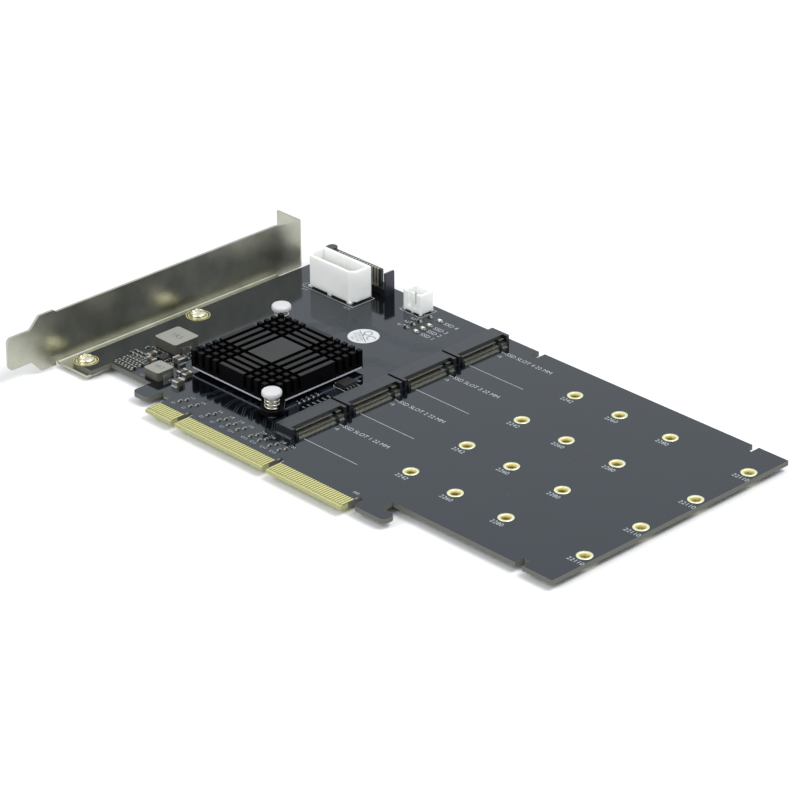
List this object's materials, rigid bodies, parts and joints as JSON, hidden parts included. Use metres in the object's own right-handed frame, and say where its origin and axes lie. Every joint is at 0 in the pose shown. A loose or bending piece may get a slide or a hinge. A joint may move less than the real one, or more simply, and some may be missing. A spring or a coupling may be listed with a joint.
{
  "type": "ssd adapter",
  "caption": "Full-height expansion card that carries flat solid-state drive modules in edge sockets, with a finned heat sink, power headers and a folded slot bracket.",
  "frame": {"origin": "on the centre line of the key notch in the edge connector, at the tips of the contacts and on the board's component face", "axes": "+X along the card away from the slot bracket, +Y from the contacts to the free top edge, +Z out of the component face"},
  "size_m": [0.211, 0.1253, 0.0196],
  "materials": {
    "board_mask": "glossy dark grey solder mask over glass fibre laminate, bare brown cut edges",
    "gold_plating": "pale gold plating",
    "zinc_plate": "zinc-plated sheet steel, satin",
    "screw_steel": "nickel-plated steel",
    "chip_moulding": "black moulding compound",
    "thermal_pad": "soft grey pad",
    "black_anodising": "black anodised, satin, with a bare machined lower edge",
    "pin_nylon": "natural white nylon",
    "spring_steel": "plated spring wire",
    "tin_plate": "matt tin",
    "white_nylon": "white nylon",
    "pin_tin": "bright tin",
    "black_nylon": "black glass-filled nylon",
    "contact_gold": "thin gold plating",
    "fan_nylon": "white nylon",
    "inductor_powder": "pressed grey metal powder",
    "capacitor_ceramic": "brown ceramic",
    "surface_part_body": "dark ceramic",
    "lamp_resin": "milky clear resin",
    "label_film": "white film label",
    "socket_nylon": "black heat-resistant nylon"
  },
  "bodies": {
    "root": {"blade_header_contacts": "contact_gold", "blade_header_housing": "black_nylon", "bracket_screws": "screw_steel", "circuit_board": "board_mask", "coupling_capacitors": "capacitor_ceramic", "edge_contacts": "gold_plating", "fan_header_housing": "fan_nylon", "fan_header_pins": "pin_tin", "heat_sink": "black_anodising", "inductor_large": "inductor_powder", "inductor_small": "inductor_powder", "inductor_terminals": "tin_plate", "module_socket_1": "socket_nylon", "module_socket_2": "socket_nylon", "module_socket_3": "socket_nylon", "module_socket_4": "socket_nylon", "power_header_housing": "white_nylon", "power_header_pins": "pin_tin", "push_pin_springs": "spring_steel", "push_pins": "pin_nylon", "round_label": "label_film", "slot_bracket": "zinc_plate", "small_chip_leads": "tin_plate", "small_chips": "chip_moulding", "small_surface_parts": "surface_part_body", "socket_contacts_1": "contact_gold", "socket_contacts_2": "contact_gold", "socket_contacts_3": "contact_gold", "socket_contacts_4": "contact_gold", "socket_hold_downs": "tin_plate", "status_lamps": "lamp_resin", "supply_capacitors": "capacitor_ceramic", "switch_chip": "chip_moulding", "thermal_pad": "thermal_pad"}
  },
  "joints": []
}
